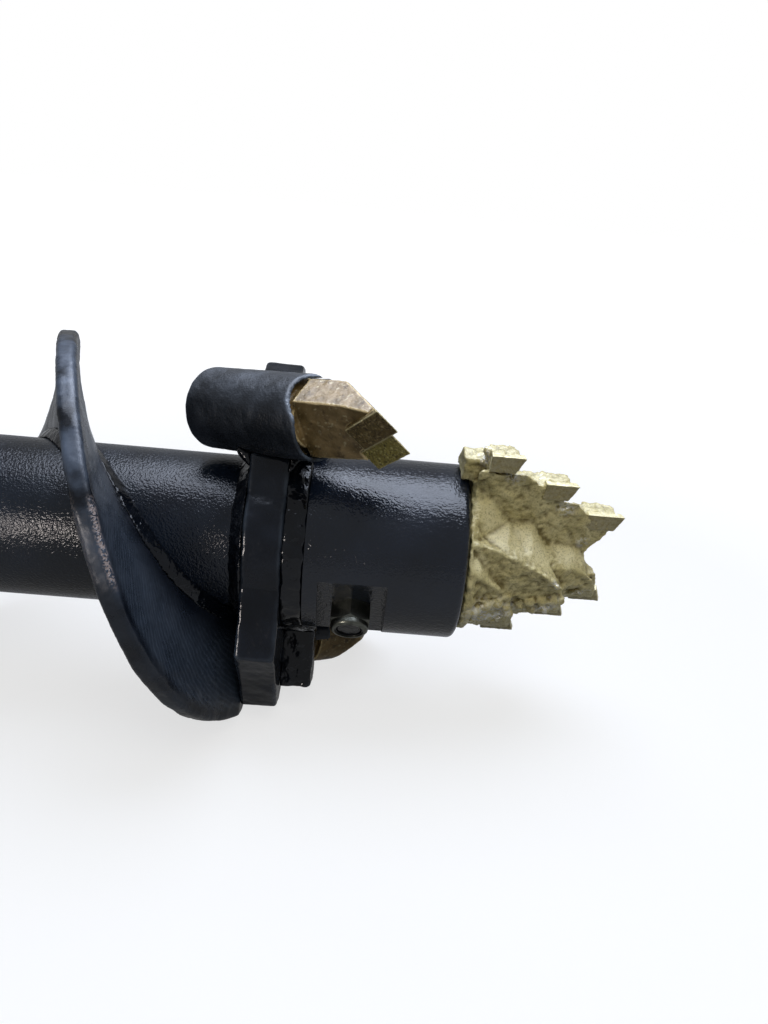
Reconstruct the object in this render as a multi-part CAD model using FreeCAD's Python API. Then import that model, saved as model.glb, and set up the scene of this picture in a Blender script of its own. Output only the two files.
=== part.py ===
import FreeCAD, Part
import math
import os
from FreeCAD import Vector

# Head of a rock auger, in millimetres.
# X runs along the auger to the pilot, and X = 0 is the shoulder where the drive hub meets the tube.
# Round the axis, places are given by a clock angle in degrees: 90 is up, 0 is the front (-Y).
# The auger is built with its head plate upright, then rolled to lie on its flight and tooth.

# stem tube
tube_radius = 50.8
tube_wall = 8.0
tube_length = 321.0

# drive hub, turned, welded into the rear of the tube
hub_collar_length = 22.0
hub_spigot_length = 92.0
hub_wall = 10.15
hub_bore_chamfer = 2.0
cross_pin_radius = 10.3
cross_pin_x = 40.0
cross_pin_clock = 173.0
weld_clearance = 0.1

# flight, one turn of helicoid plate
flight_radius = 120.0
flight_pitch = 250.0
flight_thickness = 12.0
flight_chamfer = 2.0
flight_clearance = 0.1
flight_front_clock = -90.0
flight_lead_in = 4.7
flight_overrun = 16.0
flight_rear_clock = 263.0
flight_weld_leg = 8.0

# head plate with two lobes that carry the tooth pockets
plate_thickness = 24.0
plate_ring = 6.7
plate_setback = 13.0
plate_edge_round = 1.5
lobe_height = 112.0
lobe_half_width = 33.0
plate_weld_leg = 9.0
plate_weld_crown = 2.0

# pilot socket, turned, with a hexagonal bore and a milled flat on each side
socket_step = 6.2
socket_length = 97.0
socket_spigot_length = 40.0
socket_front_round = 4.0
hex_across_flats = 44.45
hex_clearance = 0.3
hex_bore_depth = 90.0
milled_flat_distance = 47.7
milled_flat_width = 42.0
bolt_setback = 67.0
bolt_clock = -57.0

# cross bolt and lock nut, size M16
bolt_radius = 8.0
bolt_length = 110.0
bolt_hole_clearance = 0.5
bolt_across_flats = 24.0
bolt_head_height = 10.0
nut_hex_height = 11.5
nut_collar_height = 4.5
nut_collar_radius = 11.7
nut_insert_radius = 9.8
nut_lip = 0.8

# tooth pockets, cast sleeves with a tapered bore
pocket_radius = 25.0
pocket_length = 84.5
pocket_rear_round = 5.0
pocket_setback = 164.2
pocket_axis_radius = 81.1
pocket_clock = 73.3
pocket_lead_angle = 32.7
pocket_droop_angle = 4.4
pocket_floor = 12.0
pocket_wall_at_mouth = 2.2
pocket_mouth_depth = 15.5
pocket_seat_setback = 10.0
pocket_seat_reach = 11.0
pocket_notch_depth = 18.5
pocket_notch_reach = 8.0
pocket_weld_leg = 8.0
pocket_weld_toe = 0.6

# backing block behind each pocket
block_height = 20.5
block_thickness = 25.0
block_ahead = 33.0
block_inner = 62.0
block_outer = 100.0

# teeth, forged, with a taper shank
tooth_roll = 139.1
tooth_clearance = 0.5
taper_end_radius = 13.5
taper_mouth_radius = 16.0
tooth_flange_length = 4.5
tooth_groove_length = 5.0
tooth_groove_depth = 4.8
tooth_body_length = 64.0
tooth_rake_rise = 8.5
tooth_rake_slope = 12.0
tooth_rake_tilt = 9.0
tooth_cheek_distance = 19.6
tooth_cheek_angle = 10.0
tooth_skew = 32.0
tooth_relief = 51.0
blade_corner_x = 17.8
blade_corner_z = 133.4
blade_depth = 17.0

# carbide plates brazed on the teeth
tip_thickness = 4.5
outer_tip_width = 16.0
outer_tip_length = 32.0
inner_tip_width = 14.5
inner_tip_length = 32.0
inner_tip_setback = 5.5
inner_tip_drop = 1.2
tip_gap = 0.3
rake_face_height = 8.0

# pilot bit, one casting with two wings
pilot_gap = 1.5
pilot_flange_radius = 50.0
pilot_flange_length = 6.0
shank_length = 84.0
wing_a_clock = 48.0
wing_rake_offset = 9.0
pilot_tip_thickness = 5.0
pilot_tip_height = 12.0
pilot_tip_undercut = 4.5
pilot_tip_relief = 12.0
pilot_end_relief = 16.0
post_back_offset = 9.0
post_step = 2.5
post_end_step = 3.0
core_root_radius = 44.0
core_middle_radius = 27.0
core_middle_x = 40.0
core_tip_width = 15.0
core_tip_thickness = 7.0
core_length = 84.0
core_sides = 14
heel_overhang = 6.0
heel_radius = 75.5
heel_root = 40.0
heel_depth = 32.0
heel_clearance = 2.0

# how the finished auger lies
rest_roll = 24.0

tube_rear = 0.0
tube_front = tube_rear + tube_length
tube_bore = tube_radius - tube_wall
plate_front = tube_front - plate_setback
plate_rear = plate_front - plate_thickness
plate_ring_radius = tube_radius + plate_ring
socket_front = tube_front + socket_length
spigot_radius = tube_bore - weld_clearance
hub_bore_radius = spigot_radius - hub_wall
socket_radius = tube_radius + socket_step
bolt_x = socket_front - bolt_setback
pocket_rear = socket_front - pocket_setback
pilot_back = socket_front + pilot_gap
far = 400.0

# carbide tips of the pilot: start and end along X from the socket's face, and cutting radius
wing_a_tips = [(7.5, 28.0, 87.5), (43.0, 63.5, 70.0), (74.0, 97.0, 48.7)]
wing_b_tips = [(29.0, 54.0, 82.0), (61.5, 86.5, 62.3), (85.0, 108.0, 43.0)]

# ridge behind each tip: its radius and clock behind the wing, at the tip and back at the flange
ridges = [(45.0, 100.0, 130.0), (41.0, 111.0, 141.0), (20.0, 112.0, 182.0)]


def polar(x, radius, clock):
    angle = math.radians(clock)
    return Vector(x, -radius * math.cos(angle), radius * math.sin(angle))


def rod(radius, x_start, x_end):
    return Part.makeCylinder(radius, x_end - x_start, Vector(x_start, 0, 0), Vector(1, 0, 0))


def cross_rod(radius, x, clock, start, end):
    direction = polar(0, 1, clock)
    return Part.makeCylinder(radius, end - start, polar(x, 0, 0) + direction * start, direction)


def outline_face(points):
    return Part.Face(Part.makePolygon(list(points) + [points[0]]))


def turned(profile):
    """Solid of revolution about X from (x, radius) points."""
    face = outline_face([Vector(x, 0, radius) for x, radius in profile])
    return face.revolve(Vector(0, 0, 0), Vector(1, 0, 0), 360)


def helical_sweep(profile_wire, path_radius, rear_x, rear_clock, height):
    """Sweep a (radius, 0, axial) wire along a right-hand helix about X."""
    helix = Part.makeHelix(flight_pitch, height, path_radius)
    swept = Part.Wire(helix.Edges).makePipeShell([profile_wire], True, True)
    swept.rotate(Vector(0, 0, 0), Vector(1, 1, 1), 120)
    swept.rotate(Vector(0, 0, 0), Vector(1, 0, 0), 180 - rear_clock)
    swept.translate(Vector(rear_x, 0, 0))
    return swept


def flight_x(clock):
    return plate_rear - flight_lead_in - flight_pitch * (clock - flight_front_clock) / 360


def flight_profile():
    inner = tube_radius + flight_clearance
    half = flight_thickness / 2
    edge = flight_radius - flight_chamfer
    side = half - flight_chamfer
    points = [Vector(inner, 0, -half), Vector(edge, 0, -half), Vector(flight_radius, 0, -side),
              Vector(flight_radius, 0, side), Vector(edge, 0, half), Vector(inner, 0, half)]
    return Part.makePolygon(points + [points[0]])


def flight_sweep(profile_wire, path_radius):
    front_clock = flight_front_clock - flight_overrun
    height = flight_x(front_clock) - flight_x(flight_rear_clock)
    swept = helical_sweep(profile_wire, path_radius, flight_x(flight_rear_clock), flight_rear_clock, height)
    beyond_plate = Part.makeBox(far, far, far, Vector(plate_rear, -far / 2, -far / 2))
    return swept.cut(beyond_plate)


def flight_weld(side):
    half = side * flight_thickness / 2
    leg = side * flight_weld_leg
    root = tube_radius + flight_clearance
    points = [Vector(root, 0, half), Vector(root + flight_weld_leg, 0, half), Vector(root, 0, half + leg)]
    return flight_sweep(Part.makePolygon(points + [points[0]]), tube_radius)


def stem_tube():
    tube = rod(tube_radius, tube_rear, tube_front).cut(rod(tube_bore, tube_rear, tube_front))
    return tube.cut(cross_rod(cross_pin_radius, cross_pin_x, cross_pin_clock, -far, far))


def drive_hub():
    start = tube_rear - hub_collar_length
    end = tube_rear + hub_spigot_length
    mouth = hub_bore_radius + hub_bore_chamfer
    hub = turned([(start, mouth), (start, tube_radius), (tube_rear, tube_radius), (tube_rear, spigot_radius),
                  (end, spigot_radius), (end, hub_bore_radius), (start + hub_bore_chamfer, hub_bore_radius)])
    return hub.cut(cross_rod(cross_pin_radius, cross_pin_x, cross_pin_clock, -far, far))


def hub_weld():
    half = flight_weld_leg / 2
    crown = tube_radius + plate_weld_crown
    return turned([(tube_rear - half, tube_radius), (tube_rear - half / 2, crown),
                   (tube_rear + half / 2, crown), (tube_rear + half, tube_radius)])


def lobe_prism(x_start, x_end):
    """Outline of one lobe: (ahead, height), ahead being the way the head turns at the top."""
    foot = tube_radius * 0.45
    outline = [(plate_ring_radius - 6, foot - 5), (plate_ring_radius - 6, lobe_height - 52),
               (lobe_half_width, lobe_height - 15), (12, lobe_height - 1), (-2, lobe_height),
               (-14, lobe_height - 11), (-lobe_half_width, lobe_height - 28),
               (-plate_ring_radius + 8.5, lobe_height - 39), (-plate_ring_radius + 8.5, foot)]
    face = outline_face([Vector(x_start, -ahead, height) for ahead, height in outline])
    return face.extrude(Vector(x_end - x_start, 0, 0))


def turned_over(shape):
    twin = shape.copy()
    twin.rotate(Vector(0, 0, 0), Vector(1, 0, 0), 180)
    return twin


def plate_blank(x_start, x_end):
    lobe = lobe_prism(x_start, x_end)
    return rod(plate_ring_radius, x_start, x_end).fuse([lobe, turned_over(lobe)]).removeSplitter()


def head_plate(pockets):
    blank = plate_blank(plate_rear, plate_front)
    rim = [edge for edge in blank.Edges if edge.BoundBox.XLength < 0.001]
    blank = blank.makeFillet(plate_edge_round, rim)
    return blank.cut([rod(tube_radius, plate_rear, plate_front)] + pockets)


def head_plate_weld_front():
    middle = (plate_front + tube_front) / 2
    bead = socket_radius + plate_weld_crown
    return turned([(plate_front, tube_radius), (plate_front, bead), (middle, bead - 0.5),
                   (tube_front, socket_radius), (tube_front, tube_radius)])


def head_plate_weld_rear():
    return turned([(plate_rear - plate_weld_leg, tube_radius), (plate_rear, tube_radius + plate_weld_leg),
                   (plate_rear, tube_radius)])


def hexagon(across_flats, flat_clock):
    corner = across_flats / math.sqrt(3)
    return [(corner, flat_clock + 30 + 60 * side) for side in range(6)]


def hex_bar(across_flats, x_start, x_end):
    face = outline_face([polar(x_start, radius, clock) for radius, clock in hexagon(across_flats, bolt_clock)])
    return face.extrude(Vector(x_end - x_start, 0, 0))


def pilot_socket():
    start = tube_front - socket_spigot_length
    body = turned([(start, 0), (start, spigot_radius), (tube_front, spigot_radius), (tube_front, socket_radius),
                   (socket_front, socket_radius), (socket_front, 0)])
    rim = [edge for edge in body.Edges if edge.BoundBox.XMin > socket_front - 0.001
           and edge.BoundBox.YLength > socket_radius * 1.9]
    body = body.makeFillet(socket_front_round, rim)
    body = body.cut(hex_bar(hex_across_flats + 2 * hex_clearance, socket_front - hex_bore_depth, socket_front))
    for clock in (bolt_clock, bolt_clock + 180):
        body = body.cut(milled_flat(clock))
    return body.cut(cross_rod(bolt_radius + bolt_hole_clearance, bolt_x, bolt_clock, -far, far))


def milled_flat(clock):
    block = Part.makeBox(milled_flat_width, far, far)
    block.translate(Vector(bolt_x - milled_flat_width / 2, -far / 2, milled_flat_distance))
    block.rotate(Vector(0, 0, 0), Vector(1, 0, 0), 90 - clock)
    return block


def along_bolt(shape):
    """Stand a shape made along +Z on the bolt's axis, with its foot at the auger's axis."""
    shape.rotate(Vector(0, 0, 0), Vector(0, 0, 1), 30)
    shape.rotate(Vector(0, 0, 0), Vector(1, 0, 0), 90 - bolt_clock)
    shape.translate(Vector(bolt_x, 0, 0))
    return shape


def hex_head(across_flats, start, height, chamfered_end):
    corner = across_flats / math.sqrt(3)
    points = [Vector(corner * math.cos(math.radians(60 * k)), corner * math.sin(math.radians(60 * k)), start)
              for k in range(6)]
    prism = outline_face(points).extrude(Vector(0, 0, height))
    limit = across_flats / 2
    rise = (corner - limit) * math.tan(math.radians(30))
    end = start + height
    if chamfered_end < 0:
        profile = [(0, start), (limit, start), (corner, start + rise), (corner, end), (0, end)]
    else:
        profile = [(0, start), (corner, start), (corner, end - rise), (limit, end), (0, end)]
    face = outline_face([Vector(radius, 0, z) for radius, z in profile])
    return prism.common(face.revolve(Vector(0, 0, 0), Vector(0, 0, 1), 360))


def pilot_bolt():
    under_head = -milled_flat_distance
    head = hex_head(bolt_across_flats, under_head - bolt_head_height, bolt_head_height, -1)
    shank = Part.makeCylinder(bolt_radius, bolt_length, Vector(0, 0, under_head))
    end = [edge for edge in shank.Edges if edge.BoundBox.ZMin > under_head + bolt_length - 0.001]
    shank = shank.makeChamfer(1.0, end)
    return along_bolt(head.fuse(shank))


def lock_nut():
    start = milled_flat_distance
    top = start + nut_hex_height
    crown = top + nut_collar_height
    body = hex_head(bolt_across_flats, start, nut_hex_height, 1)
    collar = Part.makeCylinder(nut_collar_radius, nut_collar_height, Vector(0, 0, top))
    rim = [edge for edge in collar.Edges if edge.BoundBox.ZMin > crown - 0.001]
    body = body.fuse(collar.makeFillet(nut_collar_height / 2, rim))
    body = body.cut(Part.makeCylinder(bolt_radius, far, Vector(0, 0, start)))
    body = body.cut(Part.makeCylinder(nut_insert_radius, nut_collar_height - nut_lip, Vector(0, 0, top)))
    return along_bolt(body.cut(Part.makeCylinder(nut_insert_radius - nut_lip, far, Vector(0, 0, top))))


def nut_insert():
    top = milled_flat_distance + nut_hex_height
    height = nut_collar_height - nut_lip
    ring = Part.makeCylinder(nut_insert_radius, height, Vector(0, 0, top))
    return along_bolt(ring.cut(Part.makeCylinder(bolt_radius, height, Vector(0, 0, top))))


def pocket_direction():
    lead = math.radians(pocket_lead_angle)
    droop = math.radians(pocket_droop_angle)
    return Vector(math.cos(lead) * math.cos(droop), -math.sin(lead) * math.cos(droop), -math.sin(droop))


def pocket_matrix():
    """Pocket frame: Z out of the pocket's mouth, Y towards the rock the tooth meets, X to its outer side."""
    out = pocket_direction()
    above = Vector(0, 0, 1) - out * out.z
    above.normalize()
    ahead = out.cross(above)
    roll = math.radians(tooth_roll)
    rake = above * math.cos(roll) + ahead * math.sin(roll)
    outer = rake.cross(out)
    origin = polar(pocket_rear, pocket_axis_radius, pocket_clock)
    return FreeCAD.Matrix(outer.x, rake.x, out.x, origin.x, outer.y, rake.y, out.y, origin.y,
                          outer.z, rake.z, out.z, origin.z, 0, 0, 0, 1)


def in_pocket(shape):
    return shape.transformShape(pocket_matrix(), True)


def pocket_core():
    return in_pocket(Part.makeCylinder(pocket_radius, pocket_length))


def tooth_pocket():
    sleeve = Part.makeCylinder(pocket_radius, pocket_length)
    rear = [edge for edge in sleeve.Edges if edge.BoundBox.ZMax < 0.001]
    sleeve = sleeve.makeFillet(pocket_rear_round, rear)
    mouth_floor = pocket_length - pocket_mouth_depth
    taper = Part.makeCone(taper_end_radius, taper_mouth_radius, mouth_floor - pocket_floor,
                          Vector(0, 0, pocket_floor))
    mouth_radius = pocket_radius - pocket_wall_at_mouth
    mouth = Part.makeCylinder(mouth_radius, far, Vector(0, 0, mouth_floor))
    seat_outline = [Vector(pocket_radius - pocket_seat_reach, -pocket_radius, pocket_length + 1),
                    Vector(pocket_radius + 1, -pocket_radius, pocket_length + 1),
                    Vector(pocket_radius + 1, -pocket_radius, pocket_length - pocket_seat_setback)]
    seat = outline_face(seat_outline).extrude(Vector(0, 2 * pocket_radius, 0))
    notch = Part.makeBox(far, far, far, Vector(-far / 2, -pocket_radius + pocket_notch_reach - far,
                                               pocket_length - pocket_notch_depth))
    return in_pocket(sleeve.cut([taper, mouth, seat, notch]))


def pocket_section(x, grow):
    """Ellipse that the pocket's outside cuts in a plane across the auger, grown by a bead's leg."""
    out = pocket_direction()
    origin = polar(pocket_rear, pocket_axis_radius, pocket_clock)
    centre = origin + out * ((x - pocket_rear) / out.x)
    lean = Vector(0, out.y, out.z)
    lean.normalize()
    across = Vector(1, 0, 0).cross(lean)
    long_half = pocket_radius / out.x + grow
    short_half = pocket_radius + grow
    ellipse = Part.Ellipse(centre + lean * long_half, centre + across * short_half, centre)
    return Part.Wire([ellipse.toShape()])


def pocket_weld(side, cutters):
    face_x = plate_front if side > 0 else plate_rear
    end_x = face_x + side * pocket_weld_leg
    bead = Part.makeLoft([pocket_section(face_x, pocket_weld_leg), pocket_section(end_x, pocket_weld_toe)], True)
    bead = bead.common(lobe_prism(min(face_x, end_x), max(face_x, end_x)))
    return bead.cut(cutters)


def backing_block():
    block = Part.makeBox(block_height, block_thickness, block_outer - block_inner,
                         Vector(plate_front, -block_ahead, block_inner))
    top = [edge for edge in block.Edges if edge.BoundBox.XMin > plate_front + block_height - 0.001]
    return block.makeFillet(2.0, top).cut(pocket_core())


def blade_frame_box(along_start, along_end, across_start, across_end, y_start, y_end):
    """Box in the blade's own directions: along the skewed blade, and across it from its outer corner."""
    box = Part.makeBox(across_end - across_start, y_end - y_start, along_end - along_start,
                       Vector(-across_end, y_start, along_start))
    box.rotate(Vector(0, 0, 0), Vector(0, 1, 0), tooth_skew)
    box.translate(Vector(blade_corner_x, 0, blade_corner_z))
    return box


def relief_cutter(setback, across_start, across_end):
    """Everything beyond the flank that falls away behind the cutting edge."""
    run = 60.0
    drop = run * math.tan(math.radians(tooth_relief))
    points = [Vector(0, rake_face_height, -setback), Vector(0, rake_face_height - run, -setback - drop),
              Vector(0, rake_face_height - run, run), Vector(0, rake_face_height + run, run),
              Vector(0, rake_face_height + run, -setback)]
    wedge = outline_face([point + Vector(-across_end, 0, 0) for point in points])
    wedge = wedge.extrude(Vector(across_end - across_start, 0, 0))
    wedge.rotate(Vector(0, 0, 0), Vector(0, 1, 0), tooth_skew)
    wedge.translate(Vector(blade_corner_x, 0, blade_corner_z))
    return wedge


def inner_tip_start():
    return outer_tip_width + tip_gap


def blade_width():
    return inner_tip_start() + inner_tip_width


def tooth():
    mouth_floor = pocket_length - pocket_mouth_depth
    flange_radius = pocket_radius - pocket_wall_at_mouth - tooth_clearance
    groove_start = mouth_floor + tooth_flange_length
    body_start = groove_start + tooth_groove_length
    taper = Part.makeCone(taper_end_radius, taper_mouth_radius, mouth_floor - pocket_floor,
                          Vector(0, 0, pocket_floor))
    flange = Part.makeCylinder(flange_radius, tooth_flange_length, Vector(0, 0, mouth_floor))
    neck = Part.makeCylinder(flange_radius - tooth_groove_depth, tooth_groove_length, Vector(0, 0, groove_start))
    body = Part.makeCylinder(flange_radius, tooth_body_length, Vector(0, 0, body_start))
    seat_level = rake_face_height - tip_thickness
    rake = Part.makeBox(far, far, far, Vector(-far / 2, 0, -far / 2))
    rake.rotate(Vector(0, 0, 0), Vector(1, 0, 0), tooth_rake_slope)
    rake.rotate(Vector(0, 0, 0), Vector(0, 0, 1), -tooth_rake_tilt)
    rake.translate(Vector(tooth_cheek_distance, tooth_rake_rise, body_start))
    rake = rake.common(Part.makeBox(far, far, far, Vector(-far / 2, seat_level, body_start)))
    cheek = Part.makeBox(far, far, far, Vector(0, -far / 2, 0))
    cheek.rotate(Vector(0, 0, 0), Vector(0, 1, 0), -tooth_cheek_angle)
    cheek.translate(Vector(tooth_cheek_distance, 0, body_start))
    body = body.cut([rake, cheek])
    blade = blade_frame_box(-outer_tip_length - 2, 0, 0, blade_width(), seat_level - blade_depth, seat_level)
    recess = blade_frame_box(-outer_tip_length, far, -tip_gap, inner_tip_start(), seat_level, far)
    inner_back = -inner_tip_length - inner_tip_setback
    step = blade_frame_box(inner_back, far, inner_tip_start() - tip_gap, blade_width() + 2,
                           seat_level - inner_tip_drop, far)
    side = blade_frame_box(inner_back, far, blade_width() + tip_gap, far, -far, far)
    head = body.fuse(blade).cut([recess, step, side, relief_cutter(0, -far, inner_tip_start() - tip_gap),
                                 relief_cutter(inner_tip_setback, inner_tip_start() - tip_gap, far)])
    forging = taper.fuse([flange, neck, head]).removeSplitter()
    return in_pocket(max(forging.Solids, key=lambda solid: solid.Volume))


def outer_tip():
    seat_level = rake_face_height - tip_thickness
    plate = blade_frame_box(-outer_tip_length, 0, 0, outer_tip_width, seat_level, rake_face_height)
    return in_pocket(plate.cut(relief_cutter(0, -far, far)))


def inner_tip():
    top = rake_face_height - inner_tip_drop
    plate = blade_frame_box(-inner_tip_length - inner_tip_setback, 0, inner_tip_start(), blade_width(),
                            top - tip_thickness, top)
    return in_pocket(plate.cut(relief_cutter(inner_tip_setback, -far, far)))


def wing_point(x, aside, out, clock):
    """Point of a wing: x from the socket's face, aside to the trailing side, out along the wing."""
    return polar(socket_front + x, out, clock) + polar(0, aside, clock + 90)


def faceted(sections):
    """Solid with flat facets through outlines of equally many points, each outline flat."""
    faces = [outline_face(sections[0]), outline_face(sections[-1])]
    count = len(sections[0])
    for near, next_section in zip(sections, sections[1:]):
        for index in range(count):
            after = (index + 1) % count
            faces.append(outline_face([near[index], near[after], next_section[after]]))
            faces.append(outline_face([near[index], next_section[after], next_section[index]]))
    return Part.Solid(Part.Shell(faces))


def loft(outlines):
    wires = [Part.makePolygon(outline + [outline[0]]) for outline in outlines]
    return Part.makeLoft(wires, True, True)


def tip_outline(tip, depth, clock):
    """Outline of a pilot tip at a depth behind its rake face, smaller there by its two reliefs."""
    start, end, radius = tip
    aside = depth - wing_rake_offset
    top = radius - depth * math.tan(math.radians(pilot_tip_relief))
    foot = radius - pilot_tip_height
    corner = end - depth * math.tan(math.radians(pilot_end_relief))
    foot_end = corner - pilot_tip_undercut * (top - foot) / pilot_tip_height
    return [wing_point(start, aside, foot, clock), wing_point(start, aside, top, clock),
            wing_point(corner, aside, top, clock), wing_point(foot_end, aside, foot, clock)]


def pilot_tip(tip, clock):
    return loft([tip_outline(tip, 0, clock), tip_outline(tip, pilot_tip_thickness, clock)])


def flush_post(tip, clock):
    start, end, radius = tip
    inner = (start, end, radius - 0.3)
    back = wing_rake_offset + post_back_offset
    return loft([tip_outline(inner, pilot_tip_thickness, clock), tip_outline(inner, back, clock)])


def ridge(tip, shape, clock):
    """Twisted ridge that starts at the flange and ends as the post behind one tip."""
    start, end, radius = tip
    crest_radius, crest_turn, root_turn = shape
    aside = pilot_tip_thickness - wing_rake_offset
    top = radius - pilot_tip_thickness * math.tan(math.radians(pilot_tip_relief)) - post_step
    root_x = pilot_gap + pilot_flange_length / 2
    root = pilot_flange_radius - 3

    trailing = polar(0, 1, clock + 90)

    def section(x, lean):
        crest = polar(socket_front + x, crest_radius, clock + crest_turn)
        outer = wing_point(x, aside, top, clock)
        middle = (outer + crest) * 0.5
        bulge = middle + polar(0, crest_radius * 0.12, clock + crest_turn / 2)
        inner = wing_point(x, aside, -2, clock)
        far_side = polar(socket_front + x, crest_radius * 0.35, clock + crest_turn + 45)
        return [point - Vector(lean * (point.dot(trailing) + wing_rake_offset), 0, 0)
                for point in (inner, outer, bulge, crest, far_side)]

    turn = clock + root_turn
    x = socket_front + root_x
    root_section = [polar(x, root * 0.3, turn - 150), polar(x, root, turn - 75), polar(x, root * 1.02, turn - 37),
                    polar(x, root, turn), polar(x, root * 0.35, turn + 55)]
    end_lean = math.tan(math.radians(pilot_end_relief))
    return faceted([root_section, section(start, 0), section(end - post_end_step, end_lean)])


def pilot_core():
    stations = [(pilot_gap + pilot_flange_length / 2, core_root_radius, core_root_radius),
                (core_middle_x, core_middle_radius, core_middle_radius * 0.8),
                (core_length, core_tip_width, core_tip_thickness)]
    sections = []
    for x, width, thickness in stations:
        outline = []
        for index in range(core_sides):
            angle = math.radians(360 / core_sides * (index + 0.5))
            outline.append(wing_point(x, thickness * math.sin(angle), width * math.cos(angle), wing_a_clock))
        sections.append(outline)
    return faceted(sections)


def heel():
    """Block of wing A that reaches back over the socket, and falls away behind."""
    rise = socket_radius + heel_clearance
    end = wing_a_tips[0][0] + 2
    outline = [(2, heel_root), (2, heel_radius), (17, heel_radius - 2),
               (heel_depth - 3, heel_radius - 17.5), (heel_depth, heel_root)]
    body = loft([[wing_point(x, aside, out, wing_a_clock) for aside, out in outline]
                 for x in (-heel_overhang, end)])
    return body.cut(rod(rise, socket_front - far, socket_front + pilot_gap))


def pilot_body(tips):
    pieces = [hex_bar(hex_across_flats, pilot_back - shank_length, pilot_back), pilot_core(), heel()]
    for clock, wing_tips in ((wing_a_clock, wing_a_tips), (wing_a_clock + 180, wing_b_tips)):
        pieces += [ridge(tip, shape, clock) for tip, shape in zip(wing_tips, ridges)]
    pieces += [flush_post(tip, wing_a_clock) for tip in wing_a_tips]
    body = rod(pilot_flange_radius, pilot_back, pilot_back + pilot_flange_length).fuse(pieces)
    hole = cross_rod(bolt_radius + bolt_hole_clearance, bolt_x, bolt_clock, -far, far)
    return body.cut(tips + [hole]).removeSplitter()


def build():
    parts = {}
    parts["stem_tube"] = stem_tube()
    parts["drive_hub"] = drive_hub()
    parts["hub_weld"] = hub_weld()

    pocket_a_core = pocket_core()
    pocket_cores = [pocket_a_core, turned_over(pocket_a_core)]
    parts["head_plate"] = head_plate(pocket_cores)
    flight = flight_sweep(flight_profile(), (tube_radius + flight_radius) / 2).cut(pocket_cores[1])
    ring = head_plate_weld_rear()
    parts["flight"] = flight
    parts["head_plate_weld_front"] = head_plate_weld_front()
    parts["head_plate_weld_rear"] = ring.cut(flight)
    parts["flight_weld_front"] = flight_weld(1).cut(ring)
    parts["flight_weld_rear"] = flight_weld(-1).cut([ring, parts["hub_weld"]])

    parts["pilot_socket"] = pilot_socket()
    parts["pilot_bolt"] = pilot_bolt()
    parts["lock_nut"] = lock_nut()
    parts["nut_insert"] = nut_insert()

    block = backing_block()
    one_side = {
        "tooth_pocket": tooth_pocket(),
        "backing_block": block,
        "tooth": tooth(),
        "tooth_tip_outer": outer_tip(),
        "tooth_tip_inner": inner_tip(),
    }
    for name, shape in one_side.items():
        parts[name + "_a"] = shape
        parts[name + "_b"] = turned_over(shape)
    for side, name in ((1, "pocket_weld_front_"), (-1, "pocket_weld_rear_")):
        bead = pocket_weld(side, [pocket_a_core, block, parts["stem_tube"], parts["head_plate_weld_front"], ring])
        parts[name + "a"] = bead
        parts[name + "b"] = turned_over(bead).cut([flight, parts["flight_weld_front"], parts["flight_weld_rear"]])

    tip_shapes = []
    for letter, clock, tips in (("a", wing_a_clock, wing_a_tips), ("b", wing_a_clock + 180, wing_b_tips)):
        for number, tip in enumerate(tips, start=1):
            shape = pilot_tip(tip, clock)
            parts["pilot_tip_%s%d" % (letter, number)] = shape
            tip_shapes.append(shape)
    parts["pilot_body"] = pilot_body(tip_shapes)
    return parts


def main():
    os.makedirs("parts", exist_ok=True)
    for name, shape in build().items():
        solid = shape.copy()
        solid.rotate(Vector(0, 0, 0), Vector(1, 0, 0), -rest_roll)
        solid.exportStep("parts/" + name + ".step")
        print("%-24s solids %d  valid %s  volume %.0f" % (name, len(solid.Solids), solid.isValid(), solid.Volume))


main()
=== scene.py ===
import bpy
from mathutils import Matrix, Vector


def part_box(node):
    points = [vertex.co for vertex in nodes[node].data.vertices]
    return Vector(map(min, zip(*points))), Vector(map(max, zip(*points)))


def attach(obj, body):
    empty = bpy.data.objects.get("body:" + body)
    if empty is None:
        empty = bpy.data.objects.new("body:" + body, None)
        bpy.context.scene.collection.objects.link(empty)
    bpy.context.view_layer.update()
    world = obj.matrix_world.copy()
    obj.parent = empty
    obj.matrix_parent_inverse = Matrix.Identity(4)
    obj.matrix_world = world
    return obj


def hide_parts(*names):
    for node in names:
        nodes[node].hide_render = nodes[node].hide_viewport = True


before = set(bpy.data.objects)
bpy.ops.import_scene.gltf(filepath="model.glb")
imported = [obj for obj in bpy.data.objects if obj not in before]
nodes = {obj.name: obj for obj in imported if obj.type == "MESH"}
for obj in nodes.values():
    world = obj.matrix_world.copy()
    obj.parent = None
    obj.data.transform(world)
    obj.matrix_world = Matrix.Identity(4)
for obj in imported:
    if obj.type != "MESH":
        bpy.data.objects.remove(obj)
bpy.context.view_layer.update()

import math

import bmesh
import bpy
import numpy as np
from mathutils import Matrix, Vector, noise

mm = 0.001
print("frame loaded:", len(nodes), "nodes")

# The auger lies rolled about its own axis. Shapes are worked on upright and then laid down.
restingRoll = -24.0  # degrees
layDown = Matrix.Rotation(math.radians(restingRoll), 4, "X")
standUp = layDown.inverted()
socketFace = round(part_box("pilot_socket")[1][0] / mm, 3)  # X where the pilot starts, in millimetres


# Camera, floor and lamps, in metres

# found by fitting the tube, the socket and the flight's rim to the photo
cameraView = {
    "place": (0.351356, -0.455469, 0.226271),
    "aim": (0.031723, 0.913086, -0.406532),
    "up": (-0.084342, 0.407731, 0.909198),
    "lens": 27.07,
    "sensor": 36.0,
    "nearest": 0.01,
    "farthest": 100.0,
}

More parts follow.
